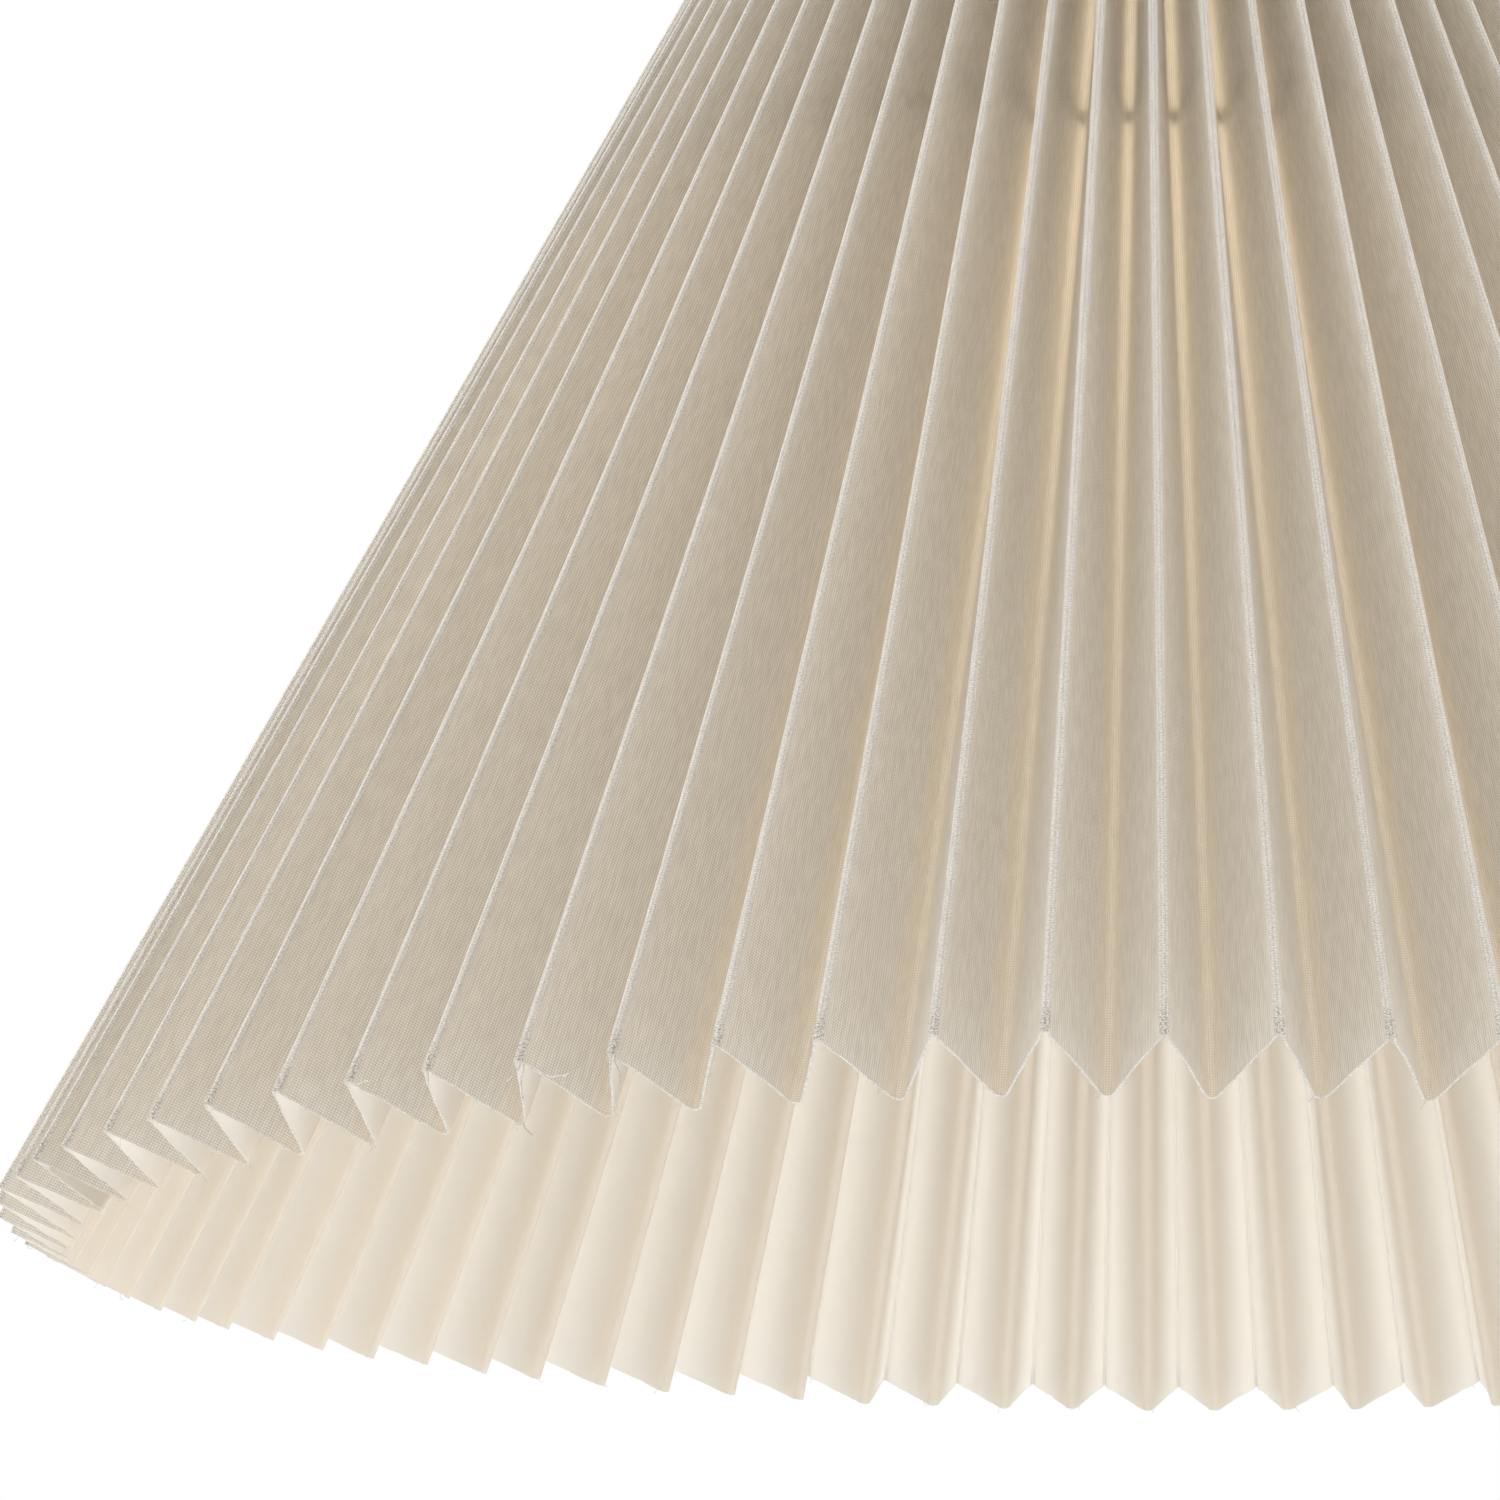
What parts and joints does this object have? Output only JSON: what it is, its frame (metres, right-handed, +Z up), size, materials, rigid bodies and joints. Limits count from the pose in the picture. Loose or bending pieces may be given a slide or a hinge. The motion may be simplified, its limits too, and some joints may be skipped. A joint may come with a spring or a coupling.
{
  "type": "lamp shade",
  "caption": "Conical accordion-pleated lamp shade of lined cloth, open at both ends, on a wire ring with a spider and a flat fitter ring for a lamp holder.",
  "frame": {"origin": "centre of the lower opening, at the height of the lowest points of the cover, where the shade rests on a table", "axes": "+Z up along the shade's axis from the wide end to the narrow end, -Y towards the viewer, +X to the viewer's right"},
  "size_m": [0.3999, 0.3999, 0.2433],
  "materials": {
    "laminated_cloth": "matt plain weave on a clear plastic lining",
    "white_enamel": "satin white powder coat"
  },
  "bodies": {
    "root": {"pleated_strip_front": "laminated_cloth", "pleated_strip_back": "laminated_cloth", "carrier_ring": "white_enamel", "spider_arm_1": "white_enamel", "spider_arm_2": "white_enamel", "spider_arm_3": "white_enamel", "fitter_ring": "white_enamel"}
  },
  "joints": []
}
